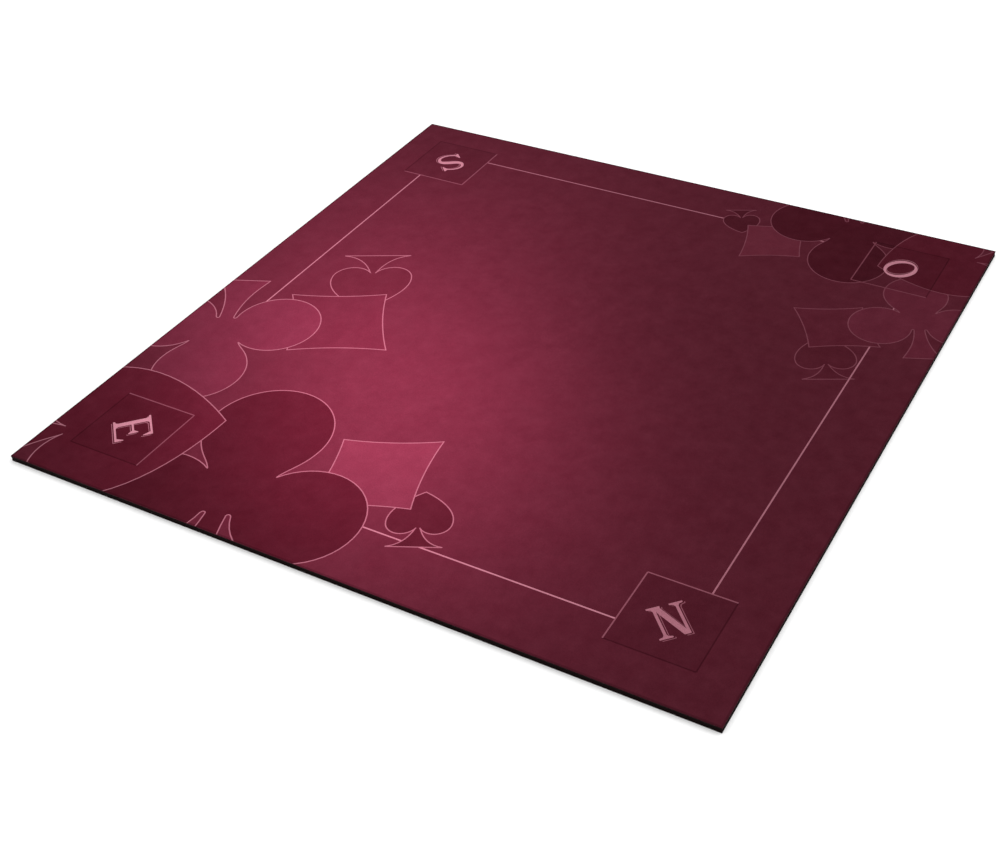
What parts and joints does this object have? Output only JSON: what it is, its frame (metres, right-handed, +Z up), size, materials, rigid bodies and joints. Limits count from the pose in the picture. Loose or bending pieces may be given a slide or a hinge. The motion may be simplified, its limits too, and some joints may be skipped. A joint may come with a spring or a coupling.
{
  "type": "card table mat",
  "caption": "Square one-piece card mat: printed wine-red knit cloth, card-suit and compass-seat print, bonded to thin black foam rubber and cut flush at the edge.",
  "frame": {"origin": "middle of the underside, on the surface that the mat lies on", "axes": "+Z up out of the playing face; -Y towards the near side, from the E corner square to the N corner square; +X towards the side from the N square to the O square"},
  "size_m": [0.77, 0.77, 0.0066],
  "materials": {
    "foam_rubber": "matt black foam, open cells on the cut edge, fine non-slip relief underneath",
    "bonding_film": "dull melted adhesive film, seen only as a hairline in the cut edge",
    "printed_cloth": "fine short-napped polyester knit, wine red, dye printed"
  },
  "bodies": {
    "root": {"foam_rubber_base": "foam_rubber", "bonding_film": "bonding_film", "printed_cloth_face": "printed_cloth"}
  },
  "joints": []
}
